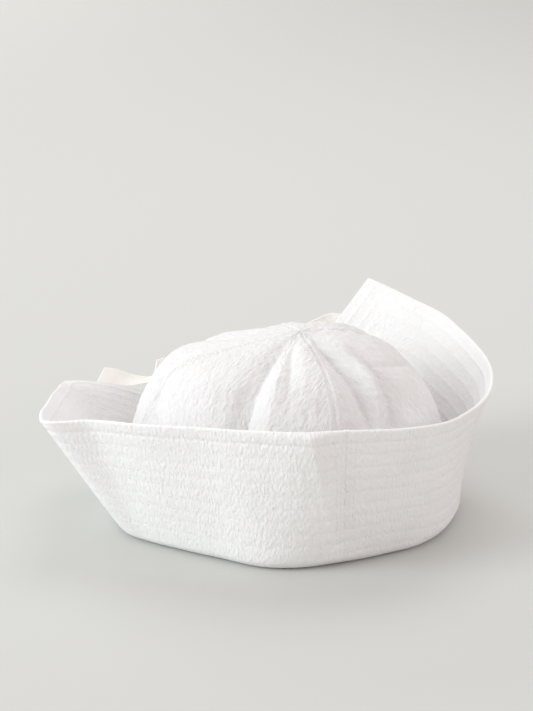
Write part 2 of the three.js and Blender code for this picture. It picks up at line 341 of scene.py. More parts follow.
tapeTwill = clothMaterial("creamTapeTwill", {
    "deep": (0.90, 0.875, 0.83), "pale": (0.955, 0.94, 0.90), "blotch": 90, "roughness": 0.9,
    "specular": 0.25, "sheen": 0.15, "threads": (("X", 45),), "threadScale": 260, "weaveStrength": 0.6,
    "crushScale": 700, "crushStretch": (1, 1, 1), "crushAngles": (0, 90), "crushStrength": 0.1,
    "glow": 0.5, "glowDepth": 0.0014,
})
threadFinish = clothMaterial("whiteSewingThread", {
    "deep": (0.90, 0.89, 0.885), "pale": (0.95, 0.945, 0.94), "blotch": 300, "roughness": 0.85,
    "specular": 0.3, "sheen": 0.1, "threads": (("X", 30),), "threadScale": 900, "weaveStrength": 0.3,
    "crushScale": 900, "crushStretch": (1, 1, 1), "crushAngles": (0, 90), "crushStrength": 0.1,
    "glow": 0.3, "glowDepth": 0.0005,
})
print("materials made")

# Brim, as sections from a point of the fold to a point of the rim
brimSet = {
    "wall": 2.0, "footWidth": 5, "foldRadius": 10, "wallLength": 100, "bend": (6, 16),
    "frontSeam": 17, "seamTurn": 0.003, "split": 196.5, "splitGap": 0.5,
    "columns": 418, "levels": 112, "middleLevel": 60, "rimLength": 380,
    "frontDetail": 1.8, "detailFrom": (-60, -42), "detailTo": (40, 60),
    "rows": 11, "hem": 7.5, "hemDepth": 0.5, "rowPitch": 8.1, "rowDepth": 0.24, "rowWidth": 0.7,
    "rowLeft": 0.5, "rowGain": 0.9, "rowTurn": (5, 25), "puff": 0.1, "puffWidth": 3.5, "rowFoot": 14,
    "seamDip": 0.1, "dipWidth": 1.2, "seamRidge": 0.15, "ridgeAt": 3.0, "ridgeWidth": 1.6,
    "seamClose": 0.006, "closeReach": 2, "seamRows": (2.4, 5.0), "seamClear": 4, "edgeFade": 2.5,
    "creaseLift": 2.6, "creaseHigh": 5, "creaseLow": 16, "creaseWidth": 11, "creaseRadius": 105, "seed": 11,
}
crinkleSet = {
    "even": 0.05, "front": 0.14, "frontFrom": (-42, -4), "frontTo": (18, 50),
    "drift": 1.4, "driftCells": ((8, 10), (7, 9)), "wave": 0.3, "waveCells": (26, 38),
    "layers": ((1.0, 0.5, 1.1, 2.6), (0.9, -0.5, 1.1, 2.6), (0.5, 0.0, 2.0, 6)),   # weight, slant, cells
}
brimNames = ("azimuth", "foot", "swing", "reach", "height", "roll")
brimTable = tableOf(brimNames, [
    (-163.5, 98, 50.3, 152.5, 60.5, 10.5),
    (-141, 97, 35, 148, 64, 7.5),
    (-118, 97, 19, 144.5, 67, 4),
    (-92, 98, 9, 145, 72, 2),
    (-71, 100, 2.5, 154.5, 76, 0),
    (-63, 99.5, 1, 156.5, 78, 0),
    (-55, 95, -0.5, 137, 80.5, 0),
    (-42, 89, 0, 125, 83, 0),
    (-26, 87.5, 0, 116, 85, 0),
    (-9, 93, 0.5, 116, 86.5, 0),
    (2, 92.5, 0, 118.5, 87, 0),
    (17, 88, -2.5, 118.5, 87, 0),
    (36, 87, -1.5, 123.5, 85, 0),
    (47, 89.5, -1.5, 122, 83, 1),
    (60, 90, -1.5, 117, 81, 3),
    (78, 89.5, -2.5, 116, 79.5, 4),
    (97, 92, -3.5, 119.5, 79, 3),
    (117, 95, -6.5, 127.5, 81, 2),
    (137, 97, -11, 134.5, 87, 2),
    (156, 98, -18, 141, 94, 1),
    (174, 98, -25.5, 142.5, 100, 0),
    (196.5, 98, -35.3, 150.5, 107, 0),
])


def brimColumn(name, azimuth):
    return smoothCurve(brimTable["azimuth"], brimTable[name], azimuth)


# The outer face: share runs from -1 to 0 across the flat foot, then to 1 round the fold and up to the rim
def brimFace(azimuth, share):
    out = toward(azimuth)
    radius = brimSet["foldRadius"]
    fold = out * brimColumn("foot", azimuth)[..., None]
    rim = toward(azimuth + brimColumn("swing", azimuth)) * brimColumn("reach", azimuth)[..., None]
    rim[..., 2] = brimColumn("height", azimuth)
    turn = math.pi / 2 - np.arctan2(((rim - fold) * out).sum(-1) - radius, rim[..., 2])
    def bend(angle):
        place = fold + out * (radius * np.sin(angle))[..., None]
        place[..., 2] = radius * (1 - np.cos(angle))
        return place
    wallStart = bend(turn)
    wall = rim - wallStart
    wallLength = np.linalg.norm(wall, axis=-1)
    arcShare = radius * turn / (radius * turn + wallLength)
    k = (share - arcShare) / (1 - arcShare)
    along = unit(wall)
    lift = unit(np.array([0, 0, 1.0]) - along * along[..., 2:])
    bow = 4 * k * (1 - k) * brimColumn("roll", azimuth)
    straight = wallStart + wall * k[..., None] + lift * bow[..., None]
    curved = bend(turn * np.clip(share, 0, None) / arcShare)
    foot = fold + out * (share * brimSet["footWidth"])[..., None]
    place = np.where((share <= arcShare)[..., None], curved, straight)
    return np.where((share < 0)[..., None], foot, place)


def sortedPair(values, places):
    order = np.argsort(values)
    return values[order], places[order]


# Shares of the way round a half, closest together at the front where the cloth is most crinkled
def frontSteps(low, high, count):
    fineCount = 2000
    edgeCount = len(roundedEdge)
    fine = np.linspace(low, high, fineCount)
    atFront = smoothStep(fine, *brimSet["detailFrom"]) * (1 - smoothStep(fine, *brimSet["detailTo"]))
    dense = 1 + brimSet["frontDetail"] * atFront
    walked = np.cumsum(dense)
    walked = (walked - walked[0]) / (walked[-1] - walked[0])
    plain = edgedSteps(brimSet["rimLength"], count)
    plain = plain / plain[-1]
    spread = np.interp(np.linspace(0, 1, count - 2 * edgeCount), walked, np.linspace(0, 1, fineCount))
    edges = plain[(plain < plain[edgeCount]) | (plain > plain[-1 - edgeCount])]
    between = (spread > edges[edgeCount - 1]) & (spread < edges[edgeCount])
    return np.unique(np.concatenate([edges, spread[between]]))


def brimHalf(name, low, high, splitAtLow, seed):
    footWidth = brimSet["footWidth"]
    middle = brimSet["middleLevel"]
    azimuth = low + (high - low) * frontSteps(low, high, brimSet["columns"])
    upSteps = edgedSteps(footWidth + brimSet["wallLength"], brimSet["levels"]) - footWidth
    share = np.where(upSteps < 0, upSteps / footWidth, upSteps / brimSet["wallLength"])
    azGrid, shareGrid = np.meshgrid(azimuth, share, indexing="ij")
    plain = brimFace(azGrid, shareGrid)
    normals = gridNormals(plain)
    fromLow = runLength(plain, 0)
    fromHigh = fromLow[-1:] - fromLow
    fromFoot = runLength(plain, 1)
    fromRim = fromFoot[:, -1:] - fromFoot
    fromEnd, fromSeam = (fromLow, fromHigh) if splitAtLow else (fromHigh, fromLow)
    edgeGap = np.minimum(np.minimum(fromLow, fromHigh), np.minimum(fromFoot, fromRim))
    inward = np.minimum(fromRim, fromEnd)
    # rows of stitching, with the cloth a little padded between them
    phase = (inward - brimSet["hem"]) / brimSet["rowPitch"]
    offRow = np.abs(phase - np.round(phase)) * brimSet["rowPitch"]
    offRow = np.where(phase < -0.5, brimSet["rowPitch"], offRow)   # no row outside the hem
    onWall = smoothStep(upSteps, *brimSet["bend"])[None, :]
    rowShare = brimSet["rowLeft"] + brimSet["rowGain"] * smoothStep(azGrid, *brimSet["rowTurn"])
    rowDepth = np.where(phase < 0.5, brimSet["hemDepth"], brimSet["rowDepth"] * rowShare)
    relief = -rowDepth * np.exp(-(offRow / brimSet["rowWidth"]) ** 2)
    relief += brimSet["puff"] * (smoothStep(offRow, 0, brimSet["puffWidth"]) - 0.5)
    # crinkles lie on two slants, are strongest at the front and run on across the seam
    acrossSeam = -fromSeam if splitAtLow else fromSeam
    u = acrossSeam[:, middle:middle + 1] + np.zeros_like(fromFoot)
    v = fromFoot
    driftU, driftV = crinkleSet["driftCells"]
    warpU = u + crinkleSet["drift"] * clothNoise(u, v, *driftU, seed)
    warpV = v + crinkleSet["drift"] * clothNoise(u, v, *driftV, seed + 1)
    crinkle = np.zeros_like(v)
    for k, (weight, slant, cellAlong, cellUp) in enumerate(crinkleSet["layers"]):
        crinkle += weight * clothNoise(warpU + slant * v, warpV, cellAlong, cellUp, seed + 2 + k)
    front = smoothStep(azGrid, *crinkleSet["frontFrom"]) * (1 - smoothStep(azGrid, *crinkleSet["frontTo"]))
    strength = crinkleSet["even"] + (crinkleSet["front"] - crinkleSet["even"]) * front
    waves = clothNoise(u, v, *crinkleSet["waveCells"], seed + 2 + len(crinkleSet["layers"]))
    relief += crinkle * strength + crinkleSet["wave"] * waves
    relief -= brimSet["seamDip"] * np.exp(-(fromSeam / brimSet["dipWidth"]) ** 2)
    relief += brimSet["seamRidge"] * np.exp(-((fromSeam - brimSet["ridgeAt"]) / brimSet["ridgeWidth"]) ** 2)
    # one soft crease stands up the front, beside the seam
    creaseLean = brimSet["creaseHigh"] - brimSet["creaseLow"]
    creaseAt = brimSet["creaseLow"] + creaseLean * np.clip(shareGrid, 0, 1)
    offCrease = np.abs(azGrid - creaseAt) * math.radians(1) * brimSet["creaseRadius"]
    relief += brimSet["creaseLift"] * np.exp(-offCrease / brimSet["creaseWidth"])
    freeEdge = np.minimum(np.minimum(fromEnd, fromFoot), fromRim)
    relief = relief * onWall * smoothStep(freeEdge, 0, brimSet["edgeFade"])
    moved = plain + normals * relief[..., None]
    movedNormals = gridNormals(moved)
    uv = np.stack([u, v], -1)
    half = brimSet["wall"] / 2
    close = half - (half - brimSet["seamClose"]) * np.exp(-(fromSeam / brimSet["closeReach"]) ** 2)
    piece, outer = clothShell(name, moved, normals, brimSet["wall"], edgeGap, brimCottonLitCopy, uv, close)
    # stitch rows: up the end edge, round the corner and along the rim, then beside the seam
    shortRun = 8
    rimClear = 6
    lines = np.arange(len(azimuth))
    levels = np.arange(len(share))
    lowLevel = np.searchsorted(upSteps, brimSet["rowFoot"])
    runs = []
    for row in range(brimSet["rows"]):
        depth = brimSet["hem"] + row * brimSet["rowPitch"]
        endI = np.array([np.interp(depth, *sortedPair(fromEnd[:, j], lines)) for j in levels])
        endKeep = [j for j in levels[lowLevel:] if np.interp(endI[j], lines, fromRim[:, j]) >= depth]
        rimJ = np.array([np.interp(depth, fromRim[i, ::-1], levels[::-1]) for i in lines])
        rimOk = np.array([np.interp(rimJ[i], levels, fromEnd[i]) >= depth for i in lines])
        rimOk &= (rimJ > lowLevel) & (fromSeam[:, middle] > brimSet["seamClear"])
        upEnd = (endI[endKeep], levels[endKeep].astype(float))
        alongRim = (lines[rimOk].astype(float), rimJ[rimOk])
        for i, j in (upEnd, alongRim):
            if len(i) > shortRun:
                runs.append((onGrid(outer, i, j), onGrid(movedNormals, i, j)))
    seamLevels = levels[lowLevel:-rimClear]
    for gap in brimSet["seamRows"]:
        seamI = np.array([np.interp(gap, *sortedPair(fromSeam[:, j], lines)) for j in seamLevels])
        seamJ = seamLevels.astype(float)
        runs.append((onGrid(outer, seamI, seamJ), onGrid(movedNormals, seamI, seamJ)))
    stitches = stitchPiece(name + "_stitches", runs, threadFinish)
    return piece, stitches


leftEnd = brimSet["split"] - 360 + brimSet["splitGap"]
rightEnd = brimSet["split"] - brimSet["splitGap"]
seamLeft = brimSet["frontSeam"] - brimSet["seamTurn"]
seamRight = brimSet["frontSeam"] + brimSet["seamTurn"]
brimPieces = {
    "brim_left": brimHalf("brimLeft", leftEnd, seamLeft, True, brimSet["seed"]),
    "brim_right": brimHalf("brimRight", seamRight, rightEnd, False, brimSet["seed"]),
}
for node, (piece, stitches) in brimPieces.items():
    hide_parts(node)
print("brim made")

# Crown of four gores: profile at five heights round the cap, with folds sunk into it
crownSet = {
    "wall": 1.2, "inset": 1.3, "base": 2.7, "midHeight": 45, "crestRadius": 34, "top": 111, "apexShift": 4,
    "focus": (0, 0, 40), "firstSeam": 17, "gores": 4, "seamGap": 0.02, "seamTurn": 6, "limit": 0.9985,
    "fade": 0.12, "coreDepth": 0.3, "coreWidth": 0.28,
    "upLength": 165, "roundLength": 140, "frontDetail": 168, "backDetail": 124,
}
goreSet = {
    "seed": 51, "seedStep": 20, "drift": 3.5, "driftCells": ((12, 15), (12, 12)),
    "crinkle": 0.26, "crinkleCells": ((1.9, 3.0), (2.8, 5)), "crinkleSlant": 0.6,
    "wrinkle": 0.5, "wrinkleSlant": -0.4, "wrinkleCells": (9, 17),
    "swellShare": 0.5, "swellCells": (22, 24), "calm": 0.45, "wornFrom": (-55, -30), "wornTo": (90, 130),
    "pucker": 0.4, "puckerReach": 7, "puckerSlant": 0.3, "puckerCells": (40, 3.6),
    "seamDepth": 0.35, "seamWidth": 1.3, "ridge": 0.3, "ridgeAt": 1.7, "ridgeWidth": 0.8,
    "footFade": 6, "edgeFade": (-0.5, 1.2), "topFade": 5,
    "seamClose": 0.03, "closeReach": 1.5, "topstitch": 2.6, "stitchFoot": 4, "stitchTop": 16,
}
crownNames = ("azimuth", "mid", "shoulder", "shoulderHeight", "crest")
crownRows = [
    (-150, 92, 74, 90, 105.5),
    (-110, 96, 76, 92, 104.5),
    (-80, 97.5, 76, 92, 105),
    (-45, 91, 75, 91, 107),
    (-10, 90, 73, 91, 109),
    (25, 88, 72, 91, 109),
    (60, 90.5, 70, 89, 108),
    (95, 91.5, 69, 91, 109),
    (130, 91, 70, 93, 110),
    (170, 93, 73, 90.5, 109),
]


def turnedRow(row, turn):
    return (row[0] + turn,) + row[1:]


crownTable = tableOf(crownNames, [turnedRow(crownRows[-1], -360), *crownRows,
                                  turnedRow(crownRows[0], 360), turnedRow(crownRows[1], 360)])
crownStops = (0, 0.28, 0.58, 0.82, 1)
foldNames = ("azHigh", "azLow", "high", "low", "depth", "width")
crownFolds = [dict(zip(foldNames, row)) for row in (
    (-19.5, -21, 0.86, 0.30, 5, 8),
    (-25, -26, 0.68, 0.30, 4.5, 17),
    (-10, -10, 0.80, 0.35, -1, 6),
    (-6, -3, 0.88, 0.64, 3, 6),
    (29, 33, 0.88, 0.45, 5.5, 8),
    (55, 40, 0.72, 0.32, 4.5, 7),
    (44, 34, 0.74, 0.36, -2, 7),
    (56, 86, 0.70, 0.60, 2, 6),
    (-84, -58, 0.62, 0.34, 2.5, 9),
    (-120, -128, 0.80, 0.30, 3, 11),
    (124, 132, 0.82, 0.30, 4, 11),
    (168, 160, 0.84, 0.35, 3.5, 10),
    (-152, -160, 0.72, 0.35, 3, 10),
    (197, 197, 0.76, 0.45, 2.5, 7),
    (106, 104, 0.66, 0.46, 3.2, 14),
)]


def wrapTurn(angle, low):
    return np.mod(angle - low, 360) + low


def crownFace(azimuth, share):
    turn = wrapTurn(azimuth, crownRows[0][0])
    def at(name):
        return smoothCurve(crownTable["azimuth"], crownTable[name], turn)
    foot = brimColumn("foot", wrapTurn(azimuth, brimTable["azimuth"][0]))
    flat = np.zeros_like(foot)
    radii = np.stack([foot - crownSet["inset"], at("mid"), at("shoulder"),
                      flat + crownSet["crestRadius"], flat])
    heights = np.stack([flat + crownSet["base"], flat + crownSet["midHeight"], at("shoulderHeight"),
                        at("crest"), flat + crownSet["top"]])
    radius = smoothCurve(crownStops, radii, share)
    place = toward(azimuth) * radius[..., None]
    place[..., 0] += crownSet["apexShift"] * share * share
    place[..., 2] = smoothCurve(crownStops, heights, share)
    sink = np.zeros_like(share)
    fade = crownSet["fade"]
    for fold in crownFolds:
        t = np.clip((share - fold["low"]) / (fold["high"] - fold["low"]), 0, 1)
        centre = fold["azLow"] + (fold["azHigh"] - fold["azLow"]) * t
        off = np.radians(wrapTurn(azimuth - centre, -180)) * radius
        window = (smoothStep(share, fold["low"] - fade, fold["low"] + fade)
                  * (1 - smoothStep(share, fold["high"] - fade, fold["high"] + fade)))
        soft = np.exp(-(off / fold["width"]) ** 2)
        core = crownSet["coreDepth"] * np.exp(-(off / (crownSet["coreWidth"] * fold["width"])) ** 2)
        sink += fold["depth"] * (soft + core) * window
    inward = unit(np.array(crownSet["focus"], float) - place)
    return place + inward * sink[..., None]


def crownGore(name, low, high, seed, detail):
    share = edgedSteps(crownSet["upLength"], detail) / crownSet["upLength"] * crownSet["limit"]
    across = edgedSteps(crownSet["roundLength"], detail) / crownSet["roundLength"]
    shareGrid = np.broadcast_to(share, (len(across), len(share))).copy()
    ring = crownFace(np.full_like(share, low), share)
    clear = np.degrees(crownSet["seamGap"] / np.maximum(np.linalg.norm(ring[:, :2], axis=1), 0.5))
    clear = np.minimum(clear, crownSet["seamTurn"])
    azGrid = low + clear + (high - low - 2 * clear) * across[:, None]
    plain = crownFace(azGrid, shareGrid)
    normals = gridNormals(plain)
    fromLow = runLength(plain, 0)
    seamGap = np.minimum(fromLow, fromLow[-1:] - fromLow)
    fromFoot = runLength(plain, 1)
    edgeGap = np.minimum(seamGap, np.minimum(fromFoot, fromFoot[:, -1:] - fromFoot))
    u = fromLow - fromLow[-1:] / 2
    v = fromFoot
    driftU, driftV = goreSet["driftCells"]
    warpU = u + goreSet["drift"] * clothNoise(u, v, *driftU, seed)
    warpV = v + goreSet["drift"] * clothNoise(u, v, *driftV, seed + 1)
    fineCells, coarseCells = goreSet["crinkleCells"]
    slanted = warpU + goreSet["crinkleSlant"] * warpV
    relief = goreSet["crinkle"] * (clothNoise(warpU, warpV, *fineCells, seed + 2)
                                   + clothNoise(slanted, warpV, *coarseCells, seed + 3))
    # the front is more worn into wrinkles than the back
    atFront = smoothStep(azGrid, *goreSet["wornFrom"]) * (1 - smoothStep(azGrid, *goreSet["wornTo"]))
    worn = goreSet["calm"] + (1 - goreSet["calm"]) * atFront
    slanted = warpU + goreSet["wrinkleSlant"] * warpV
    relief += goreSet["wrinkle"] * worn * clothNoise(slanted, warpV, *goreSet["wrinkleCells"], seed + 4)
    relief += goreSet["swellShare"] * goreSet["wrinkle"] * clothNoise(u, v, *goreSet["swellCells"], seed + 5)
    # puckers beside the seam, which lies in a groove between two ridges
    nearSeam = np.exp(-seamGap / goreSet["puckerReach"])
    pull = clothNoise(u, v + goreSet["puckerSlant"] * np.abs(u), *goreSet["puckerCells"], seed + 6)
    relief += goreSet["pucker"] * nearSeam * pull
    relief -= goreSet["seamDepth"] * np.exp(-(seamGap / goreSet["seamWidth"]) ** 2)
    relief += goreSet["ridge"] * np.exp(-((seamGap - goreSet["ridgeAt"]) / goreSet["ridgeWidth"]) ** 2)
    relief = (relief * smoothStep(fromFoot, 0, goreSet["footFade"])
              * smoothStep(edgeGap, *goreSet["edgeFade"]))
    relief *= smoothStep(fromFoot[:, -1:] - fromFoot, 0, goreSet["topFade"])
    moved = plain + normals * relief[..., None]
    uv = np.stack([u, v], -1)
    half = crownSet["wall"] / 2
    close = half - (half - goreSet["seamClose"]) * np.exp(-(seamGap / goreSet["closeReach"]) ** 2)
    piece, outer = clothShell(name, moved, normals, crownSet["wall"], edgeGap, crownCottonShadedCopy, uv, close)
    outward = gridNormals(moved)
    lines = np.arange(len(across))
    levels = np.arange(goreSet["stitchFoot"], len(share) - goreSet["stitchTop"])
    gap = goreSet["topstitch"]
    runs = []
    for fromSeam in (fromLow, fromLow[-1:] - fromLow):
        i = np.array([np.interp(gap, *sortedPair(fromSeam[:, j], lines)) for j in levels])
        runs.append((onGrid(outer, i, levels.astype(float)), onGrid(outward, i, levels.astype(float))))
    return piece, stitchPiece(name + "_stitches", runs, threadFinish)


goreTurn = 360 / crownSet["gores"]
goreSides = (("front_right", "FrontRight"), ("back_right", "BackRight"),
             ("back_left", "BackLeft"), ("front_left", "FrontLeft"))
for k, (node, label) in enumerate(goreSides):
    start = crownSet["firstSeam"] + goreTurn * k
    detail = crownSet["frontDetail"] if "Front" in label else crownSet["backDetail"]
    seed = goreSet["seed"] + goreSet["seedStep"] * k
    piece, stitches = crownGore("crownPanel" + label, start, start + goreTurn, seed, detail)
    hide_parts("crown_panel_" + node)
print("crown made")

# Tape ties: a centre line, and the direction across the tape
tapeSet = {
    "wall": 1.0, "width": 14, "along": 170, "across": 24, "edge": (0, 0.1, 0.28, 0.5), "pathSteps": 1200,
    "sewnGap": 0.3, "sewnRight": 0.75, "sewnLeft": 0.47, "insets": (9.2, 5.2), "sewnFrom": 5, "sewnTo": 22,
    "sewnSteps": 40, "slant": 7, "pinch": 0.4, "pinchLength": 7, "curl": 0.7, "curlCells": (22, 9),
    "ripple": 0.25, "rippleCells": (9, 7), "rib": 0.12, "ribInset": 1.0, "ribWidth": 0.5,
}
strapRight = [
    (6, 127, 72.5, 0.25, 0.1, 0.96),
    (-12, 122, 66, 0.2, 0, 0.98),
    (-28, 116.5, 60, 0.1, 0, 1),
    (-35, 114.5, 58.8, 0.1, 0, 1),   # inside the knot
]
strapLeft = [
    (-67, 92, 44, 0.6, 0.1, -0.8),
    (-57, 100.5, 49, 0.3, -0.1, -0.95),
    (-47, 107, 54, 0, -0.1, -1),
    (-40, 111.5, 57, 0, -0.1, -1),   # inside the knot
]
endLong = [
    (-39, 113, 58, 0, 0.1, 1),   # inside the knot
    (-46.5, 112, 58, 0, 0.1, 1),
    (-62, 105, 54, 0, 0.5, 0.85),
    (-77, 96, 52.5, 0, 0.97, 0.1),
    (-89, 88.5, 54, 0, 0.98, -0.1),
    (-101.5, 84, 55.5, 0, 0.9, 0.2),
    (-112, 80, 58.5, 0.1, 0.75, 0.5),
    (-123.5, 76.5, 60.5, 0.3, 0.75, 0.45),
]
endShort = [
    (-39, 115.5, 59.5, 0, 0.2, 0.98),   # inside the knot
    (-46.5, 117.5, 61.5, 0, 0.2, 0.98),
    (-60, 117, 61.5, 0, 0.2, 0.98),
    (-75, 109, 57.5, -0.1, 0.2, 0.97),
    (-90.5, 98, 56, -0.25, 0.15, 0.95),
]


# A place on the outer face of the brim where the tape is sewn
def sewnRow(azimuth, share, sign):
    nudge = 0.01
    azimuths = np.array([azimuth, azimuth, azimuth - nudge])
    here, up, back = brimFace(azimuths, np.array([share, share + nudge, share]))
    along = unit(up - here)
    outward = unit(np.cross(here - back, along))
    centre = here + outward * (tapeSet["wall"] + tapeSet["sewnGap"])
    return (*centre, *(along * sign))


# Curve through points that neither loops nor overshoots between them
def easyCurve(points, at):
    ends = np.concatenate([[2 * points[0] - points[1]], points, [2 * points[-1] - points[-2]]])
    k = np.clip(np.floor(at).astype(int), 0, len(points) - 2)
    x0, x1, x2, x3 = (ends[k + step] for step in range(4))
    gaps = np.sqrt(np.linalg.norm(np.diff(ends, axis=0), axis=1))
    d0, d1, d2 = (gaps[k + step][:, None] for step in range(3))
    t1 = ((x1 - x0) / d0 - (x2 - x0) / (d0 + d1) + (x2 - x1) / d1) * d1
    t2 = ((x2 - x1) / d1 - (x3 - x1) / (d1 + d2) + (x3 - x2) / d2) * d1
    t = (at - k)[:, None]
    return (x1 + t1 * t + (-3 * x1 + 3 * x2 - 2 * t1 - t2) * t ** 2 + (2 * x1 - 2 * x2 + t1 + t2) * t ** 3)


def tapePiece(name, rows, seed, knotFirst, slant=0.0):
    rows = np.array(rows, float)
    width = tapeSet["width"]
    fine = np.linspace(0, len(rows) - 1, tapeSet["pathSteps"])
    path = easyCurve(rows[:, :3], fine)
    walked = np.concatenate([[0], np.cumsum(np.linalg.norm(np.diff(path, axis=0), axis=1))])
    length = walked[-1]
    alongSteps = edgedSteps(length, tapeSet["along"], tapeSet["edge"])
    acrossSteps = edgedSteps(width, tapeSet["across"], tapeSet["edge"]) - width / 2
    stepGrid, sideGrid = np.meshgrid(alongSteps, acrossSteps, indexing="ij")
    fromKnot = stepGrid if knotFirst else length - stepGrid
    pinch = 1 - tapeSet["pinch"] * np.exp(-(fromKnot / tapeSet["pinchLength"]) ** 2)
    cut = slant * (sideGrid / width + 0.5)   # the far end is cut on the slant
    stepGrid = stepGrid * (1 - cut / length)
    place = np.interp(stepGrid.ravel(), walked, fine)
    centre = easyCurve(rows[:, :3], place)
    nudge = 0.004
    after = easyCurve(rows[:, :3], np.minimum(place + nudge, len(rows) - 1))
    before = easyCurve(rows[:, :3], np.maximum(place - nudge, 0))
    tangent = unit(after - before)
    k = np.minimum(np.floor(place).astype(int), len(rows) - 2)
    acrossRows = unit(rows[:, 3:])
    lean = acrossRows[k] + (acrossRows[k + 1] - acrossRows[k]) * (place - k)[:, None]
    lean = unit(lean - tangent * (lean * tangent).sum(1)[:, None])
    grid = (centre + lean * (sideGrid * pinch).reshape(-1, 1)).reshape(*stepGrid.shape, 3)
    normals = gridNormals(grid)
    turned = clothNoise(stepGrid, sideGrid * 0, *tapeSet["curlCells"], seed)
    curl = tapeSet["curl"] * (sideGrid / width * 2) ** 2 * turned
    ripple = tapeSet["ripple"] * clothNoise(stepGrid, sideGrid, *tapeSet["rippleCells"], seed + 1)
    edgeGap = np.minimum(np.minimum(stepGrid, stepGrid[-1:] - stepGrid), width / 2 - np.abs(sideGrid))
    offRib = np.abs(sideGrid) - width / 2 + tapeSet["ribInset"]
    ribs = tapeSet["rib"] * np.exp(-(offRib / tapeSet["ribWidth"]) ** 2)
    grid = grid + normals * (curl + ripple + ribs)[..., None]
    uv = np.stack([stepGrid, sideGrid], -1)
    piece, outer = clothShell(name, grid, normals, tapeSet["wall"], edgeGap, tapeTwill, uv)
    return piece, length, outer, gridNormals(grid)


rightRows = [sewnRow(rightEnd - inset, tapeSet["sewnRight"], 1) for inset in tapeSet["insets"]]
rightRows += [sewnRow(brimSet["split"], tapeSet["sewnRight"], 1), *strapRight]
leftRows = [sewnRow(leftEnd + inset, tapeSet["sewnLeft"], -1) for inset in tapeSet["insets"]]
leftRows += [sewnRow(brimSet["split"] - 360, tapeSet["sewnLeft"], -1), *strapLeft]
tapes = {
    "tie_strap_right": tapePiece("tieStrapRight", rightRows, seed=131, knotFirst=False),
    "tie_strap_left": tapePiece("tieStrapLeft", leftRows, seed=141, knotFirst=False),
    "tie_end_long": tapePiece("tieEndLong", endLong, seed=151, knotFirst=True, slant=tapeSet["slant"]),
    "tie_end_short": tapePiece("tieEndShort", endShort, seed=161, knotFirst=True, slant=tapeSet["slant"]),
}
for node, (piece, length, outer, outward) in tapes.items():
    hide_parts(node)
    extra = []
    if "strap" in node:
        # a box of stitches holds the sewn end to the brim
        i0 = j0 = tapeSet["sewnFrom"]
        i1 = tapeSet["sewnTo"]
        j1 = outer.shape[1] - 1 - tapeSet["sewnFrom"]
        corners = [(i0, j0), (i1, j0), (i1, j1), (i0, j1), (i0, j0)]
        runs = []
        for (ia, ja), (ib, jb) in zip(corners, corners[1:]):
            i = np.linspace(ia, ib, tapeSet["sewnSteps"])
            j = np.linspace(ja, jb, tapeSet["sewnSteps"])
            runs.append((onGrid(outer, i, j), onGrid(outward, i, j)))
        extra = [stitchPiece(piece.name + "_stitches", runs, threadFinish)]
    print(piece.name, "length", round(length, 1), "mm")


# The knot: a core with two turns of tape drawn round it
def knotWrap(centre, half, tilt, lean, width, wall):
    angle = np.linspace(0, 2 * math.pi, knotSet["wrapTurns"], endpoint=False)
    side = np.linspace(-0.5, 0.5, knotSet["wrapAcross"]) * width
    tiltTurn = Matrix.Rotation(math.radians(tilt), 3, "Y")
    leanTurn = Matrix.Rotation(math.radians(lean), 3, "Z")
    turnMatrix = np.array(tiltTurn @ leanTurn)
    pleats = knotSet["pleat"] * np.cos(side / width * math.pi * knotSet["pleats"])
    bulge = np.cos(side / width * math.pi * knotSet["bulge"]) + pleats
    rings = []
    for layer in (wall, 0.0):
        y = np.cos(angle)[:, None] * (half[1] * bulge[None, :] + layer)
        z = np.sin(angle)[:, None] * (half[2] * bulge[None, :] + layer)
        x = np.broadcast_to(side, y.shape) + knotSet["wrapSwing"] * np.sin(2 * angle)[:, None]
        rings.append(np.stack([x, y, z], -1) @ turnMatrix.T + centre)
    return rings


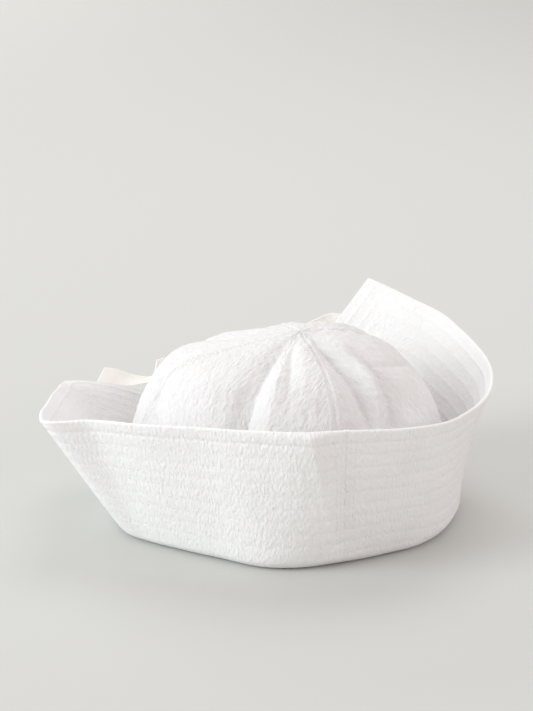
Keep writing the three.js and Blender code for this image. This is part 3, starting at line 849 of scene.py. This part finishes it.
def knotPiece(name):
    centre = np.array(knotSet["centre"], float)
    half = knotSet["half"]
    points, faces, uv = [], [], []
    base = 0
    for tilt, lean, widthShare in knotSet["wraps"]:
        width = knotSet["wrapWidth"] * widthShare
        outer, inner = knotWrap(centre, half, tilt, lean, width, knotSet["wrapWall"])
        turns, across = outer.shape[:2]
        aroundStep, acrossStep = knotSet["uvSteps"]
        aroundUv, acrossUv = np.meshgrid(np.arange(turns) * aroundStep, np.arange(across) * acrossStep,
                                         indexing="ij")
        for ring in (outer, inner):
            points.append(ring.reshape(-1, 3))
            uv.append(np.stack([aroundUv, acrossUv], -1).reshape(-1, 2))
        def place(layer, i, j):
            return base + layer * turns * across + (i % turns) * across + j
        def quad(*corners):
            faces.append(tuple(place(*corner) for corner in corners))
        last = across - 1
        for i in range(turns):
            n = i + 1
            for j in range(last):
                quad((0, i, j), (0, i, j + 1), (0, n, j + 1), (0, n, j))
                quad((1, i, j), (1, n, j), (1, n, j + 1), (1, i, j + 1))
            quad((0, i, 0), (0, n, 0), (1, n, 0), (1, i, 0))
            quad((0, i, last), (1, i, last), (1, n, last), (0, n, last))
        base += 2 * turns * across
    # core, gathered between the wraps
    turns = knotSet["coreTurns"]
    rings = knotSet["coreRings"]
    share = knotSet["coreShare"]
    theta = np.linspace(knotSet["poleGap"], math.pi - knotSet["poleGap"], rings)
    phi = np.linspace(0, 2 * math.pi, turns, endpoint=False)
    gather = 1 + knotSet["gatherDepth"] * np.cos(knotSet["gathers"] * phi)[:, None] * np.sin(theta)[None, :]
    x = -np.cos(theta)[None, :] * half[0] * np.ones((turns, 1))
    y = np.cos(phi)[:, None] * np.sin(theta)[None, :] * half[1] * share * gather
    z = np.sin(phi)[:, None] * np.sin(theta)[None, :] * half[2] * share * gather
    core = np.stack([x, y, z], -1) + centre
    points.append(core.reshape(-1, 3))
    lengthUv, roundUv = knotSet["coreUv"]
    uv.append(np.stack([x * lengthUv, phi[:, None] * roundUv + 0 * x], -1).reshape(-1, 2))
    for i in range(turns):
        for j in range(rings - 1):
            a = base + i * rings + j
            b = base + ((i + 1) % turns) * rings + j
            faces.append((a, a + 1, b + 1, b))
    faces.append(tuple(base + i * rings for i in range(turns)))
    faces.append(tuple(base + i * rings + rings - 1 for i in reversed(range(turns))))
    piece = makePiece(name, np.concatenate(points), faces, tapeTwill, np.concatenate(uv))
    shape = bmesh.new()
    shape.from_mesh(piece.data)
    bmesh.ops.recalc_face_normals(shape, faces=shape.faces)
    shape.to_mesh(piece.data)
    shape.free()
    return piece


tieKnot = knotPiece("tieKnot")
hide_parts("tie_knot")
print("ties made")

# Floor, light and camera
stageSet = {
    "floorRadius": 9.0, "floorSides": 64, "floorColor": (0.645, 0.65, 0.63), "floorRoughness": 0.8,
    "floorSpecular": 0.1, "worldColor": (1.0, 0.93, 0.91), "world": 0.68,
}
floorMesh = bpy.data.meshes.new("floor")
floorTurns = np.arange(stageSet["floorSides"]) * 2 * math.pi / stageSet["floorSides"]
floorEdge = [(stageSet["floorRadius"] * math.cos(turn), stageSet["floorRadius"] * math.sin(turn), 0)
             for turn in floorTurns]
floorMesh.from_pydata(floorEdge, [], [tuple(range(stageSet["floorSides"]))])
floor = bpy.data.objects.new("floor", floorMesh)
scene.collection.objects.link(floor)
floorFinish = bpy.data.materials.new("paleTable")
floorFinish.use_nodes = True
floorShader = floorFinish.node_tree.nodes["Principled BSDF"]
floorShader.inputs["Roughness"].default_value = stageSet["floorRoughness"]
floorShader.inputs["Specular IOR Level"].default_value = stageSet["floorSpecular"]
floorShader.inputs["Base Color"].default_value = (*stageSet["floorColor"], 1)
floorMesh.materials.append(floorFinish)

world = bpy.data.worlds.new("softRoom")
scene.world = world
world.use_nodes = True
sky = world.node_tree.nodes["Background"]
sky.inputs["Color"].default_value = (*stageSet["worldColor"], 1)
sky.inputs["Strength"].default_value = stageSet["world"]


def areaLight(name, place, aim, extent, energy, color):
    lamp = bpy.data.lights.new(name, "AREA")
    lamp.shape = "DISK"
    lamp.size = extent
    lamp.energy = energy
    lamp.color = color
    holder = bpy.data.objects.new(name, lamp)
    holder.location = place
    holder.rotation_euler = (Vector(aim) - Vector(place)).to_track_quat("-Z", "Y").to_euler()
    scene.collection.objects.link(holder)


capMiddle = (0, 0, 0.05)
backFloor = (-0.4, 2.4, 0)
lightRows = (   # name, place, aim, extent, energy, color
    ("windowLight", (-2.9, -1.2, 1.6), capMiddle, 2.2, 42, (0.88, 0.985, 1.0)),
    ("leftCard", (-1.7, -0.5, 0.4), capMiddle, 1.0, 8.5, (0.9, 0.975, 1.0)),
    ("ceilingLight", (0.2, 0.9, 1.7), capMiddle, 1.3, 9, (0.93, 0.99, 1.0)),
    ("backdropLight", (-1.2, 2.6, 1.3), backFloor, 1.5, 15, (0.97, 1.0, 0.98)),
    ("rightFill", (1.9, -1.2, 1.0), capMiddle, 1.6, 7, (1.0, 0.96, 0.94)),
)
for lightRow in lightRows:
    areaLight(*lightRow)

# The camera looks so that the middle of the cap's foot falls on its pixel in the picture
cameraSet = {
    "elevation": 20, "distance": 1.4, "focalPixels": 2333, "sensor": 36,
    "image": (533, 711), "basePixel": (292, 510),
}
imageWide, imageHigh = cameraSet["image"]
rise = math.radians(cameraSet["elevation"])
sideShare = (cameraSet["basePixel"][0] - imageWide / 2) / cameraSet["focalPixels"]
upShare = -(cameraSet["basePixel"][1] - imageHigh / 2) / cameraSet["focalPixels"]
rayLength = math.sqrt(1 + sideShare ** 2 + upShare ** 2)
yaw = -math.asin(sideShare / (rayLength * math.cos(rise)))
pitch = math.atan(upShare) + math.asin(math.sin(rise) * rayLength / math.sqrt(1 + upShare ** 2))
level = Vector((math.sin(yaw), math.cos(yaw), 0))
rightward = Vector((math.cos(yaw), -math.sin(yaw), 0))
forward = level * math.cos(pitch) - Vector((0, 0, math.sin(pitch)))
upward = rightward.cross(forward)
camera = bpy.data.objects.new("camera", bpy.data.cameras.new("camera"))
camera.data.sensor_width = cameraSet["sensor"]
camera.data.lens = cameraSet["focalPixels"] * cameraSet["sensor"] / imageHigh
eye = Vector(capShift) + Vector((0, -math.cos(rise), math.sin(rise))) * cameraSet["distance"]
camera.matrix_world = Matrix((
    (rightward.x, upward.x, -forward.x, eye.x),
    (rightward.y, upward.y, -forward.y, eye.y),
    (rightward.z, upward.z, -forward.z, eye.z),
    (0, 0, 0, 1),
))
scene.collection.objects.link(camera)
scene.camera = camera
scene.view_settings.view_transform = "Standard"
print("stage and camera set")
